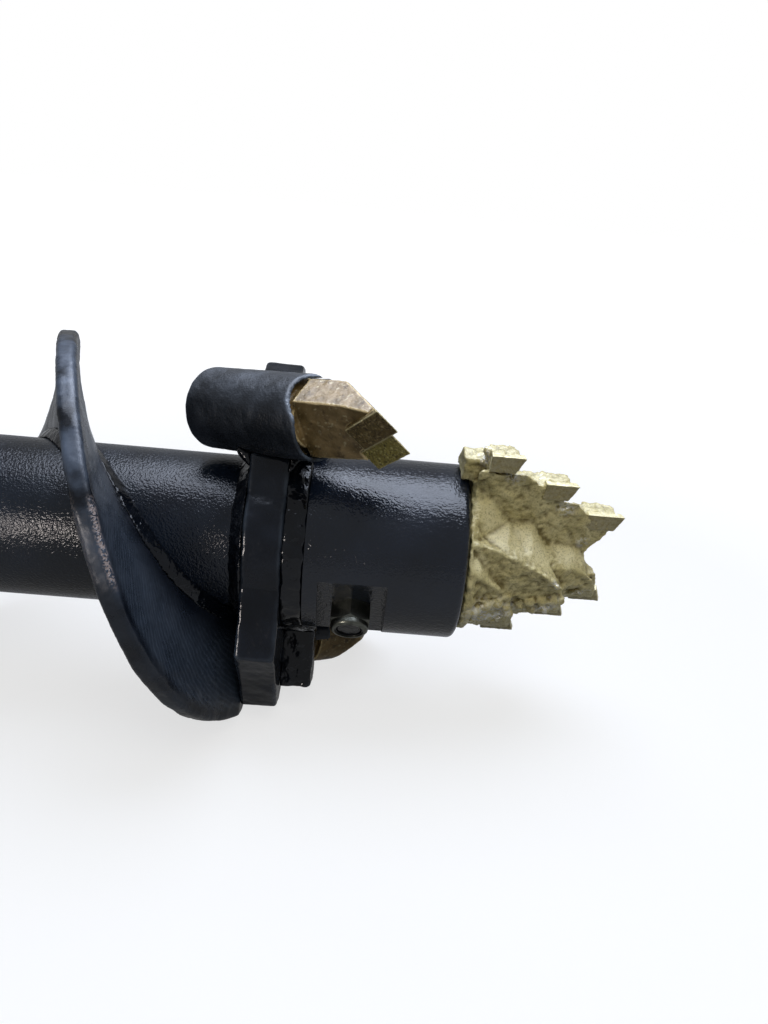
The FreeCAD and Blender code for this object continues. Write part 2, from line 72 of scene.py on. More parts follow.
studio = {
    "floorMiddle": (0.35, 0.0, -0.1202),  # just under the flight's rim
    "floorSize": 14.0,
    "floorColour": "#8E8E8E",
    "floorGlow": (0.7, 1.0),  # near the auger and far away, seen by the camera and in reflections
    "glowReach": (0.45, 1.3),
    "backdropColour": "#FFFFFF",
    "worldColour": "#D9E2EE",
    "worldLevel": 0.17,
    "backdropLevel": 1.0,
    "mirrorShare": 0.25,  # how much of the white background shows in reflections
}

# where each lamp stands, what it points at, its size, its power in watts and its colour
lamps = {
    "overheadBox": {"place": (0.42, 0.28, 1.4), "aim": (0.36, 0.0, 0.0), "size": (1.5, 1.15),
                    "power": 26.0, "colour": "#E2ECFF"},
    "overheadGlint": {"place": (0.42, 0.28, 1.4), "aim": (0.36, 0.0, 0.0), "size": (1.5, 1.15),
                      "power": 150.0, "colour": "#DDE8FF", "glossOnly": True},
    "lowWindow": {"place": (-0.55, -1.3, 0.2), "aim": (0.1, 0.0, 0.0), "size": (0.5, 0.26),
                  "power": 9.0, "colour": "#FFF4EE", "glossOnly": True},
    "frontFill": {"place": (0.6, -0.9, 1.2), "aim": (0.42, 0.0, 0.0), "size": (0.8, 0.8),
                  "power": 8.0, "colour": "#FFFDF8", "matteOnly": True},
}


def linearColour(hexColour):
    channels = [int(hexColour[i:i + 2], 16) / 255 for i in (1, 3, 5)]
    return tuple(c / 12.92 if c <= 0.04045 else ((c + 0.055) / 1.055) ** 2.4 for c in channels) + (1.0,)


def addNode(tree, kind, settings=None, inputs=None):
    # an input takes another node's socket, a hex colour or a plain value, and None leaves it alone
    node = tree.nodes.new(kind)
    for name, value in (settings or {}).items():
        setattr(node, name, value)
    for name, value in (inputs or {}).items():
        if isinstance(value, bpy.types.NodeSocket):
            tree.links.new(value, node.inputs[name])
        elif value is not None:
            node.inputs[name].default_value = linearColour(value) if isinstance(value, str) else value
    return node


def linkObject(obj):
    bpy.context.scene.collection.objects.link(obj)
    return obj


def placeCamera():
    data = bpy.data.cameras.new("photoCamera")
    data.lens = cameraView["lens"]
    data.sensor_width = cameraView["sensor"]
    data.clip_start = cameraView["nearest"]
    data.clip_end = cameraView["farthest"]
    camera = linkObject(bpy.data.objects.new("photoCamera", data))
    aim = Vector(cameraView["aim"]).normalized()
    side = aim.cross(Vector(cameraView["up"])).normalized()
    above = side.cross(aim)
    turn = Matrix((side, above, -aim)).transposed()
    camera.matrix_world = Matrix.Translation(cameraView["place"]) @ turn.to_4x4()
    bpy.context.scene.camera = camera


def placeLamp(name, lamp):
    data = bpy.data.lights.new(name, "AREA")
    data.shape = "RECTANGLE"
    data.size, data.size_y = lamp["size"]
    data.energy = lamp["power"]
    data.color = linearColour(lamp["colour"])[:3]
    obj = linkObject(bpy.data.objects.new(name, data))
    direction = Vector(lamp["aim"]) - Vector(lamp["place"])
    obj.rotation_euler = direction.to_track_quat("-Z", "Y").to_euler()
    obj.location = lamp["place"]
    obj.visible_camera = False
    obj.visible_diffuse = not lamp.get("glossOnly", False)
    obj.visible_glossy = not lamp.get("matteOnly", False)


def seenRays(tree):
    # 1 for rays from the camera, and a share for those that a shiny or clear surface sends on
    path = addNode(tree, "ShaderNodeLightPath")
    either = addNode(tree, "ShaderNodeMath", {"operation": "MAXIMUM"},
                     {0: path.outputs["Is Glossy Ray"], 1: path.outputs["Is Transmission Ray"]})
    share = addNode(tree, "ShaderNodeMath", {"operation": "MULTIPLY"},
                    {0: either.outputs[0], 1: studio["mirrorShare"]})
    both = addNode(tree, "ShaderNodeMath", {"operation": "MAXIMUM"},
                   {0: path.outputs["Is Camera Ray"], 1: share.outputs[0]})
    return both.outputs[0]


def makeWorld():
    world = bpy.data.worlds.new("paleRoom")
    bpy.context.scene.world = world
    world.use_nodes = True
    tree = world.node_tree
    tree.nodes.clear()
    room = addNode(tree, "ShaderNodeBackground", None,
                   {"Color": studio["worldColour"], "Strength": studio["worldLevel"]})
    backdrop = addNode(tree, "ShaderNodeBackground", None,
                       {"Color": studio["backdropColour"], "Strength": studio["backdropLevel"]})
    mix = addNode(tree, "ShaderNodeMixShader", None,
                  {0: seenRays(tree), 1: room.outputs[0], 2: backdrop.outputs[0]})
    addNode(tree, "ShaderNodeOutputWorld", None, {"Surface": mix.outputs[0]})


def makeFloor():
    paper = bpy.data.materials.new("paleFloorPaper")
    paper.use_nodes = True
    tree = paper.node_tree
    tree.nodes.clear()
    sheet = addNode(tree, "ShaderNodeBsdfDiffuse", None, {"Color": studio["floorColour"]})
    spot = addNode(tree, "ShaderNodeTexCoord").outputs["Object"]
    away = addNode(tree, "ShaderNodeVectorMath", {"operation": "DISTANCE"},
                   {0: spot, 1: studio["floorMiddle"]})
    glowNear, glowFar = studio["floorGlow"]
    reachNear, reachFar = studio["glowReach"]
    spread = addNode(tree, "ShaderNodeMapRange", None,
                     {"Value": away.outputs["Value"], "From Min": reachNear, "From Max": reachFar,
                      "To Min": glowNear, "To Max": glowFar})
    level = addNode(tree, "ShaderNodeMath", {"operation": "MULTIPLY"},
                    {0: seenRays(tree), 1: spread.outputs["Result"]})
    glow = addNode(tree, "ShaderNodeEmission", None,
                   {"Color": studio["backdropColour"], "Strength": level.outputs[0]})
    both = addNode(tree, "ShaderNodeAddShader", None, {0: sheet.outputs[0], 1: glow.outputs[0]})
    addNode(tree, "ShaderNodeOutputMaterial", None, {"Surface": both.outputs[0]})

    bm = bmesh.new()
    bmesh.ops.create_grid(bm, x_segments=1, y_segments=1, size=studio["floorSize"] / 2)
    bmesh.ops.translate(bm, verts=bm.verts, vec=studio["floorMiddle"])
    mesh = bpy.data.meshes.new("floor")
    bm.to_mesh(mesh)
    bm.free()
    mesh.materials.append(paper)
    linkObject(bpy.data.objects.new("floor", mesh))


placeCamera()
makeWorld()
makeFloor()
for name, lamp in lamps.items():
    placeLamp(name, lamp)
bpy.context.scene.view_settings.view_transform = "Standard"
print("camera, floor and lamps are in place")


# Finishes. All sizes and depths are in millimetres. Each pattern is given by its size, the noise where
# it starts and where it is full, and its detail. Each finish mixes its colours in the order given.

bandSpacing = 0.314  # the bands of a wave node stand this far apart at a scale of 1


def perMm(size):
    # a noise scale whose features are about this many millimetres across
    return 1.0 / (size * mm)


def newMaterial(name):
    material = bpy.data.materials.new(name)
    material.use_nodes = True
    tree = material.node_tree
    tree.nodes.clear()
    spot = addNode(tree, "ShaderNodeTexCoord").outputs["Object"]
    return material, tree, spot


def patches(tree, spot, size, start, full, detail):
    # noise turned into a mask that goes from 0 at start to 1 at full
    cloud = addNode(tree, "ShaderNodeTexNoise", None,
                    {"Scale": perMm(size), "Detail": detail, "Vector": spot})
    mask = addNode(tree, "ShaderNodeMapRange", None,
                   {"Value": cloud.outputs["Fac"], "From Min": start, "From Max": full})
    return mask.outputs["Result"]


def finishMaterial(tree, inputs):
    shader = addNode(tree, "ShaderNodeBsdfPrincipled", None, inputs)
    addNode(tree, "ShaderNodeOutputMaterial", None, {"Surface": shader.outputs[0]})


# Black alkyd enamel, sprayed thick and wet over mill scale: a deep blue-black gloss whose
# orange peel breaks the lamps up into speckles, with a thin grey haze of dust on it. The dust's
# grit is drawn about three times too coarse, so that it shows.
enamel = {
    "wet": {"deep": "#0A1019", "haze": "#1E2938", "hazeSize": 55.0, "hazeShare": 0.5, "rough": (0.14, 0.28),
            "peelSize": 1.6, "peelDepth": 0.34, "gritSize": 0.9, "gritDepth": 0.18, "sheen": 0.36},
    "socket": {"deep": "#0C121C", "haze": "#243044", "hazeSize": 40.0, "hazeShare": 0.2, "rough": (0.1, 0.18),
               "peelSize": 2.4, "peelDepth": 0.34, "gritSize": 0.9, "gritDepth": 0.16, "sheen": 0.5},
    "plate": {"deep": "#0A0E15", "haze": "#222936", "hazeSize": 30.0, "hazeShare": 0.4, "rough": (0.1, 0.22),
              "peelSize": 6.0, "peelDepth": 0.45, "gritSize": 1.2, "gritDepth": 0.03, "sheen": 0.28},
    "weld": {"deep": "#06080D", "haze": "#141A22", "hazeSize": 12.0, "hazeShare": 0.3, "rough": (0.07, 0.16),
             "peelSize": 4.0, "peelDepth": 0.7, "gritSize": 1.5, "gritDepth": 0.08, "sheen": 0.35},
    "cast": {"deep": "#171B20", "haze": "#31373F", "hazeSize": 20.0, "hazeShare": 0.7, "rough": (0.38, 0.55),
             "peelSize": 3.2, "peelDepth": 0.3, "gritSize": 1.1, "gritDepth": 0.12, "sheen": 0.28},
}
hazePattern = (0.42, 0.72, 5.0)
rubbedEnamelHighlight = "#5C6672"  # along edges: rubbed enamel and a painted highlight


def enamelMaterial(name, look):
    material, tree, spot = newMaterial(name)
    haze = patches(tree, spot, look["hazeSize"], *hazePattern)
    share = addNode(tree, "ShaderNodeMath", {"operation": "MULTIPLY"},
                    {0: haze, 1: look["hazeShare"]}).outputs[0]
    # edges lighter: rubbed enamel and a painted highlight
    edge = addNode(tree, "ShaderNodeAttribute", {"attribute_name": "edge"}).outputs["Fac"]
    rubbedAndHighlit = addNode(tree, "ShaderNodeMath", {"operation": "MULTIPLY"}, {0: edge, 1: share}).outputs[0]
    colour = look["deep"]
    for amount, layer in ((share, look["haze"]), (rubbedAndHighlit, rubbedEnamelHighlight)):
        colour = addNode(tree, "ShaderNodeMix", {"data_type": "RGBA"},
                         {0: amount, 6: colour, 7: layer}).outputs[2]
    normal = None
    for size, detail, depth in ((look["peelSize"], 1.5, look["peelDepth"]),
                                (look["gritSize"], 0.0, look["gritDepth"])):
        grain = addNode(tree, "ShaderNodeTexNoise", None,
                        {"Scale": perMm(size), "Detail": detail, "Vector": spot}).outputs["Fac"]
        normal = addNode(tree, "ShaderNodeBump", None,
                         {"Height": grain, "Distance": depth * mm, "Normal": normal}).outputs["Normal"]
    smoothest, roughest = look["rough"]
    rough = addNode(tree, "ShaderNodeMapRange", None,
                    {"Value": haze, "To Min": smoothest, "To Max": roughest})
    finishMaterial(tree, {"Base Color": colour, "Roughness": rough.outputs["Result"], "Normal": normal,
                          "Specular IOR Level": look["sheen"]})
    return material


# The flight's enamel is thinner and scuffed: streaks left by the mill and the spade, and the rim chipped
# to bare steel where it met stone. A slate grey painted reflection lies along the rim, mostly on its upper
# half.
flightLook = {
    "deep": "#0B0F16",
    "haze": "#333B46",
    # painted reflection: the slate grey laid along the rim
    "rimReflectionGrey": "#5A6678",
    "streak": "#4A525D",
    "bareSteel": "#958782",
    "cloud": (26.0, 0.38, 0.66, 5.0),
    "chips": (1.3, 0.42, 0.56, 3.0),
    "hazeShare": 0.6,
    "streakSize": 3.6,
    "streakReach": (0.55, 1.0),
    "streakShare": 0.4,
    "streakDepth": 0.04,
    "chipDepth": -0.2,
    "peelSize": 3.5,
    "peelDepth": 0.14,
    "rough": (0.2, 0.42),
    "sheen": 0.3,
}


def flightMaterial():
    material, tree, spot = newMaterial("scuffedEnamel")
    look = flightLook
    paintedRimReflection, scuff, chip = [addNode(tree, "ShaderNodeAttribute", {"attribute_name": name}).outputs["Fac"]
                        for name in ("paintedRimReflection", "scuff", "chip")]
    around = addNode(tree, "ShaderNodeUVMap", {"uv_map": "aroundAndOut"}).outputs[0]
    cloud = patches(tree, spot, *look["cloud"])
    bits = patches(tree, spot, *look["chips"])
    bands = addNode(tree, "ShaderNodeTexWave", None,
                    {"Scale": perMm(look["streakSize"]) * bandSpacing, "Distortion": 5.0, "Detail": 3.0,
                     "Detail Scale": 1.5, "Vector": around}).outputs["Fac"]
    start, full = look["streakReach"]
    streaks = addNode(tree, "ShaderNodeMapRange", None,
                      {"Value": bands, "From Min": start, "From Max": full,
                       "To Max": look["streakShare"]}).outputs["Result"]
    colour = look["deep"]
    heights = {}
    # the slate grey layer is a painted reflection, laid where the rim mask puts it
    for layer, first, second in (("haze", scuff, look["hazeShare"]), ("rimReflectionGrey", cloud, paintedRimReflection),
                                 ("streak", streaks, scuff), ("bareSteel", bits, chip)):
        share = addNode(tree, "ShaderNodeMath", {"operation": "MULTIPLY"}, {0: first, 1: second}).outputs[0]
        colour = addNode(tree, "ShaderNodeMix", {"data_type": "RGBA"},
                         {0: share, 6: colour, 7: look[layer]}).outputs[2]
        heights[layer] = share
    peel = addNode(tree, "ShaderNodeTexNoise", None,
                   {"Scale": perMm(look["peelSize"]), "Vector": spot}).outputs["Fac"]
    normal = None
    for height, depth in ((peel, look["peelDepth"]), (heights["streak"], look["streakDepth"]),
                          (heights["bareSteel"], look["chipDepth"])):
        normal = addNode(tree, "ShaderNodeBump", None,
                         {"Height": height, "Distance": depth * mm, "Normal": normal}).outputs["Normal"]
    smoothest, roughest = look["rough"]
    rough = addNode(tree, "ShaderNodeMapRange", None,
                    {"Value": cloud, "To Min": smoothest, "To Max": roughest})
    finishMaterial(tree, {"Base Color": colour, "Roughness": rough.outputs["Result"], "Normal": normal,
                          "Specular IOR Level": look["sheen"]})
    return material


# Gold paint over a sand casting and over brazed carbide: pale, dry and grainy, with bright silver specks
# where flux and braze shine through. The hollows are darker, with dirt and painted shade.
goldPaint = {
    "pale": "#EBE0B0",
    "mid": "#D6C88F",
    "sandy": "#A89A5E",
    "deep": "#65562A",
    "silver": "#E2E2DE",
    "broad": (14.0, 0.3, 0.7, 4.0),
    "specks": (2.4, 0.45, 0.53, 2.0),
    "grainSize": 1.1,
    "grainDepth": 0.5,
    "leastGrain": 0.05,
    "lumpSize": 4.5,
    "lumpDepth": 0.8,
    "sandyShare": (-0.2, 0.5),  # on smooth and on rough casting skin
    "pitShare": 0.55,
    # how far dirt and painted shade darken the hollows
    "shadeAndDirtShare": 0.85,
    "rough": (0.46, 0.12),  # of paint and of braze
    "metallic": (0.03, 0.9),
    "sheen": 0.3,
}


def goldMaterial(name, grainShare, speckShare):
    material, tree, spot = newMaterial(name)
    look = goldPaint
    shadeAndDirt, braze, rough = [addNode(tree, "ShaderNodeAttribute", {"attribute_name": name}).outputs["Fac"]
                            for name in ("shadeAndDirt", "braze", "rough")]
    broad = patches(tree, spot, *look["broad"])
    fine = addNode(tree, "ShaderNodeTexNoise", None, {"Scale": perMm(look["grainSize"]), "Detail": 3.0,
                                                      "Roughness": 0.6, "Vector": spot}).outputs["Fac"]
    lumps = addNode(tree, "ShaderNodeTexNoise", None,
                    {"Scale": perMm(look["lumpSize"]), "Vector": spot}).outputs["Fac"]
    onSmooth, onRough = look["sandyShare"]
    sandy = addNode(tree, "ShaderNodeMapRange", None,
                    {"Value": rough, "To Min": onSmooth, "To Max": onRough * grainShare}).outputs["Result"]
    pits = addNode(tree, "ShaderNodeMapRange", None, {"Value": fine, "From Min": 0.5, "From Max": 0.3,
                                                      "To Max": look["pitShare"]}).outputs["Result"]
    # dirt and painted shade, darkest in the hollows and under the tips
    dirt = addNode(tree, "ShaderNodeMath", {"operation": "MULTIPLY"},
                   {0: shadeAndDirt, 1: look["shadeAndDirtShare"]}).outputs[0]
    brazed = addNode(tree, "ShaderNodeMath", {"operation": "MULTIPLY"},
                     {0: patches(tree, spot, *look["specks"]), 1: braze}).outputs[0]
    silver = addNode(tree, "ShaderNodeMath", {"operation": "MULTIPLY"}, {0: brazed, 1: speckShare}).outputs[0]
    colour = look["mid"]
    for amount, layer in ((broad, "pale"), (sandy, "sandy"), (pits, "deep"), (dirt, "deep"),
                          (silver, "silver")):
        colour = addNode(tree, "ShaderNodeMix", {"data_type": "RGBA"},
                         {0: amount, 6: colour, 7: look[layer]}).outputs[2]
    grainHeight = addNode(tree, "ShaderNodeMath", {"operation": "MULTIPLY_ADD"},
                          {0: rough, 1: grainShare, 2: look["leastGrain"]}).outputs[0]
    normal = None
    for pattern, depth in ((fine, look["grainDepth"]), (lumps, look["lumpDepth"])):
        height = addNode(tree, "ShaderNodeMath", {"operation": "MULTIPLY"}, {0: pattern, 1: grainHeight})
        normal = addNode(tree, "ShaderNodeBump", None, {"Height": height.outputs[0], "Distance": depth * mm,
                                                        "Normal": normal}).outputs["Normal"]
    finishInputs = {"Base Color": colour, "Normal": normal, "Specular IOR Level": look["sheen"]}
    for socket, (ofPaint, ofBraze) in (("Roughness", look["rough"]), ("Metallic", look["metallic"])):
        reach = addNode(tree, "ShaderNodeMapRange", None,
                        {"Value": silver, "To Min": ofPaint, "To Max": ofBraze})
        finishInputs[socket] = reach.outputs["Result"]
    finishMaterial(tree, finishInputs)
    return material


# Bronze-gold lacquer on a forged tooth: thin enough for the dark forging skin to mottle it. Its edges are
# lighter, rubbed and with a painted highlight.
toothLook = {
    "bright": "#8E7750",
    "tan": "#63512F",
    "brown": "#3B2D1B",
    "fleck": "#B9AC87",
    "edge": "#C9B384",
    "cloud": (9.0, 0.32, 0.68, 6.0),
    "dirt": (5.0, 0.56, 0.72, 5.0),
    "flecks": (2.4, 0.6, 0.7, 3.0),
    "dirtShare": 0.75,
    "fleckShare": 0.55,
    "skinSize": 3.0,
    "skinDepth": 0.22,
    "rough": (0.42, 0.3),
    "metallic": 0.08,
    "sheen": 0.2,
}


def toothMaterial():
    material, tree, spot = newMaterial("bronzeLacquer")
    look = toothLook
    cloud = patches(tree, spot, *look["cloud"])
    dirt = addNode(tree, "ShaderNodeMath", {"operation": "MULTIPLY"},
                   {0: patches(tree, spot, *look["dirt"]), 1: look["dirtShare"]}).outputs[0]
    flecks = addNode(tree, "ShaderNodeMath", {"operation": "MULTIPLY"},
                     {0: patches(tree, spot, *look["flecks"]), 1: look["fleckShare"]}).outputs[0]
    # edges lighter: rubbed lacquer and a painted highlight
    edge = addNode(tree, "ShaderNodeAttribute", {"attribute_name": "edge"}).outputs["Fac"]
    colour = look["tan"]
    for amount, layer in ((cloud, "bright"), (dirt, "brown"), (flecks, "fleck"), (edge, "edge")):
        colour = addNode(tree, "ShaderNodeMix", {"data_type": "RGBA"},
                         {0: amount, 6: colour, 7: look[layer]}).outputs[2]
    skin = addNode(tree, "ShaderNodeTexNoise", None,
                   {"Scale": perMm(look["skinSize"]), "Detail": 4.0, "Vector": spot}).outputs["Fac"]
    normal = addNode(tree, "ShaderNodeBump", None, {"Height": skin, "Distance": look["skinDepth"] * mm})
    dull, shiny = look["rough"]
    rough = addNode(tree, "ShaderNodeMapRange", None, {"Value": cloud, "To Min": dull, "To Max": shiny})
    finishMaterial(tree, {"Base Color": colour, "Roughness": rough.outputs["Result"],
                          "Normal": normal.outputs["Normal"], "Metallic": look["metallic"],
                          "Specular IOR Level": look["sheen"]})
    return material


# Sintered carbide under a thin gold coat, brazed on: olive, pitted, with braze flecks. The outer
# plate's coat is browner, and both plates are lighter along their edges, rubbed bright and with a painted
# highlight.
carbideLook = {
    "olive": ("#77692C", "#A59650", "#D2C583"),
    "brown": ("#5A4826", "#7C6A3E", "#A8946A"),
    "pit": "#33280F",
    "edge": "#CFC090",
    "cloud": (6.0, 0.3, 0.7, 5.0),
    "flecks": (1.6, 0.56, 0.66, 2.0),
    "fleckShare": 0.8,
    "pitSize": 2.0,
    "pitDepth": 0.2,
    "grainSize": 1.2,
    "grainDepth": 0.35,
    "rough": 0.42,
    "metallic": 0.12,
    "sheen": 0.25,
}


def carbideMaterial(name, coat):
    material, tree, spot = newMaterial(name)
    look = carbideLook
    dark, light, fleck = look[coat]
    cloud = patches(tree, spot, *look["cloud"])
    flecks = addNode(tree, "ShaderNodeMath", {"operation": "MULTIPLY"},
                     {0: patches(tree, spot, *look["flecks"]), 1: look["fleckShare"]}).outputs[0]
    pits = addNode(tree, "ShaderNodeTexVoronoi", None,
                   {"Scale": perMm(look["pitSize"]), "Vector": spot}).outputs["Distance"]
    fine = addNode(tree, "ShaderNodeTexNoise", None,
                   {"Scale": perMm(look["grainSize"]), "Detail": 3.0, "Vector": spot}).outputs["Fac"]
    deep = addNode(tree, "ShaderNodeMapRange", None,
                   {"Value": fine, "From Min": 0.5, "From Max": 0.3}).outputs["Result"]
    # edges lighter: rubbed coat and a painted highlight
    edge = addNode(tree, "ShaderNodeAttribute", {"attribute_name": "edge"}).outputs["Fac"]
    colour = dark
    for amount, layer in ((cloud, light), (flecks, fleck), (deep, look["pit"]), (edge, look["edge"])):
        colour = addNode(tree, "ShaderNodeMix", {"data_type": "RGBA"},
                         {0: amount, 6: colour, 7: layer}).outputs[2]
    normal = None
    for height, depth in ((pits, look["pitDepth"]), (fine, look["grainDepth"])):
        normal = addNode(tree, "ShaderNodeBump", None,
                         {"Height": height, "Distance": depth * mm, "Normal": normal}).outputs["Normal"]
    finishMaterial(tree, {"Base Color": colour, "Normal": normal, "Metallic": look["metallic"],
                          "Roughness": look["rough"], "Specular IOR Level": look["sheen"]})
    return material


# Zinc-plated steel under a thin mist of paint: a soft grey glint that the mist dulls in patches.
zincLook = {
    "bare": "#63645C",
    "misted": "#2A2C27",
    "mist": (5.0, 0.5, 0.75, 4.0),
    "mistShare": (0.1, 0.8),
    "grainSize": 1.0,
    "grainDepth": 0.05,
    "rough": (0.28, 0.5),
}


def zincMaterial():
    material, tree, spot = newMaterial("zincPlate")
    look = zincLook
    mist = patches(tree, spot, *look["mist"])
    amount, rough = [addNode(tree, "ShaderNodeMapRange", None,
                             {"Value": mist, "To Min": least, "To Max": most}).outputs["Result"]
                     for least, most in (look["mistShare"], look["rough"])]
    colour = addNode(tree, "ShaderNodeMix", {"data_type": "RGBA"},
                     {0: amount, 6: look["bare"], 7: look["misted"]}).outputs[2]
    fine = addNode(tree, "ShaderNodeTexNoise", None,
                   {"Scale": perMm(look["grainSize"]), "Vector": spot}).outputs["Fac"]
    normal = addNode(tree, "ShaderNodeBump", None, {"Height": fine, "Distance": look["grainDepth"] * mm})
    finishMaterial(tree, {"Base Color": colour, "Roughness": rough, "Normal": normal.outputs["Normal"],
                          "Metallic": 1.0})
    return material


# Moulded nylon in the nut, black with grease: a smooth, dark and faintly shiny ring.
nylonLook = {
    "dark": "#07080B",
    "light": "#101319",
    "cloud": (2.0, 0.3, 0.7, 3.0),
    "rough": 0.35,
}


def nylonMaterial():
    material, tree, spot = newMaterial("greasyNylon")
    look = nylonLook
    cloud = patches(tree, spot, *look["cloud"])
    colour = addNode(tree, "ShaderNodeMix", {"data_type": "RGBA"},
                     {0: cloud, 6: look["dark"], 7: look["light"]}).outputs[2]
    finishMaterial(tree, {"Base Color": colour, "Roughness": look["rough"]})
    return material


finish = {name: enamelMaterial(name + "Enamel", look) for name, look in enamel.items()}
finish["flight"] = flightMaterial()
finish["gold"] = goldMaterial("sandyGoldPaint", 1.0, 0.65)
finish["goldTip"] = goldMaterial("tipGoldPaint", 0.7, 0.6)
finish["tooth"] = toothMaterial()
finish["carbide"] = carbideMaterial("coatedCarbide", "olive")
finish["carbideBrown"] = carbideMaterial("brownCarbide", "brown")
finish["zinc"] = zincMaterial()
finish["nylon"] = nylonMaterial()
print("finishes made:", len(finish))


# Pieces. Their sizes are in millimetres, and their voxel is the width of the even faces they get.

def evaluated(obj):
    depsgraph = bpy.context.evaluated_depsgraph_get()
    mesh = bpy.data.meshes.new_from_object(obj.evaluated_get(depsgraph))
    obj.modifiers.clear()
    old = obj.data
    obj.data = mesh
    bpy.data.meshes.remove(old)
    return obj


def uprightCopy(name, nodeName):
    # the CAD node's mesh, merged and stood upright, as a new object
    bm = bmesh.new()
    bm.from_mesh(nodes[nodeName].data)
    bmesh.ops.remove_doubles(bm, verts=bm.verts, dist=0.002 * mm)
    bmesh.ops.transform(bm, matrix=standUp, verts=bm.verts)
    mesh = bpy.data.meshes.new(name)
    bm.to_mesh(mesh)
    bm.free()
    return linkObject(bpy.data.objects.new(name, mesh))


def remesh(obj, voxel, rounds):
    # even faces all over, then edges worn round
    modifier = obj.modifiers.new("evenFaces", "REMESH")
    modifier.mode = "VOXEL"
    modifier.voxel_size = voxel * mm
    modifier.use_smooth_shade = True
    if rounds:
        soften = obj.modifiers.new("wornEdges", "SMOOTH")
        soften.iterations = rounds
    return evaluated(obj)


def spots(obj):
    # the piece's points and their outward directions, as two arrays
    count = len(obj.data.vertices)
    points = np.empty(count * 3)
    outward = np.empty(count * 3)
    obj.data.vertices.foreach_get("co", points)
    obj.data.vertices.foreach_get("normal", outward)
    return points.reshape(-1, 3), outward.reshape(-1, 3)


def movePoints(obj, points):
    obj.data.vertices.foreach_set("co", points.ravel())
    obj.data.update()


def cloudAt(points, size, octaves=3):
    scaled = points * perMm(size)
    return np.array([noise.fractal(spot, 1.0, 2.0, octaves) for spot in scaled.tolist()])


def roughen(obj, size, depth):
    # cast skin: moves the surface in and out by noise
    points, outward = spots(obj)
    movePoints(obj, points + outward * (cloudAt(points, size) * depth * mm)[:, None])


def layPiece(obj, nodeName, material):
    # lays the piece down, paints it, and lets it stand for its CAD node
    obj.data.transform(layDown)
    obj.data.materials.clear()
    obj.data.materials.append(material)
    for polygon in obj.data.polygons:
        polygon.use_smooth = True
        polygon.material_index = 0
    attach(obj, "root")
    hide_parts(nodeName)


def setNumbers(obj, name, values):
    attribute = obj.data.attributes.new(name, "FLOAT", "POINT")
    attribute.data.foreach_set("value", values)


def hollows(obj, rounds):
    # how far each point lies under the skin's average, in millimetres: the hollows get dirt and painted shade
    # from it, and the edges that stand out get rubbed and given a painted highlight
    points, outward = spots(obj)
    ends = np.empty(len(obj.data.edges) * 2, int)
    obj.data.edges.foreach_get("vertices", ends)
    first, second = ends[0::2], ends[1::2]
    count = len(points)
    neighbours = np.bincount(first, minlength=count) + np.bincount(second, minlength=count)
    average = points.copy()
    for _ in range(rounds):
        average = np.stack([np.bincount(first, average[second, axis], count) +
                            np.bincount(second, average[first, axis], count) for axis in range(3)], axis=1)
        average /= neighbours[:, None]
    return ((average - points) * outward).sum(axis=1) / mm


def clockAndRadius(points):
    # degrees round the axis and millimetres from it
    clock = np.degrees(np.arctan2(points[:, 2], -points[:, 1]))
    return clock, np.hypot(points[:, 1], points[:, 2]) / mm


def ramp(values, low, high):
    return np.clip((values - low) / (high - low), 0.0, 1.0)


def band(values, rise, fall):
    # 0, then up to 1 over the rise and back to 0 over the fall
    return ramp(values, *rise) * (1.0 - ramp(values, *fall))


# the CAD nodes that keep their own mesh
plainNodes = {
    "stem_tube": "wet", "drive_hub": "wet", "hub_weld": "weld", "pilot_socket": "socket",
    "pilot_bolt": "weld", "lock_nut": "zinc", "nut_insert": "nylon",
}


def dressNodes():
    for nodeName, finishName in plainNodes.items():
        mesh = nodes[nodeName].data
        mesh.materials.clear()
        mesh.materials.append(finish[finishName])


flightPiece = {
    "voxel": 1.2,
    "rounds": 3,
    "waveSize": 16.0,
    "waveDepth": 0.5,
    "rimRadius": 120.0,
    # the chipped stretch of the rim, in degrees, and its depth
    "chipClocks": ((-15.0, -11.0), (5.0, 9.0)),
    "chipReach": 3.5,
    "backChip": 0.35,  # how much of it the rear face has
    # painted reflection: slate grey along the rim, most of it on the upper half, which faces the lamps
    "rimReflectionClocks": (-25.0, 35.0),
    "rimReflectionRadii": (113.0, 118.0),
    "faceReflectionShare": 0.1,
    "lowerReflectionShare": 0.15,
    "scuffRadii": ((62.0, 85.0), (110.0, 115.0)),
    # the streaks run round the face along a slow spiral
    "seamClock": 100.0,
    "streakRadius": 90.0,
    "streakDrift": 18.0,
    "streakBend": 2000.0 / 81.0,
}


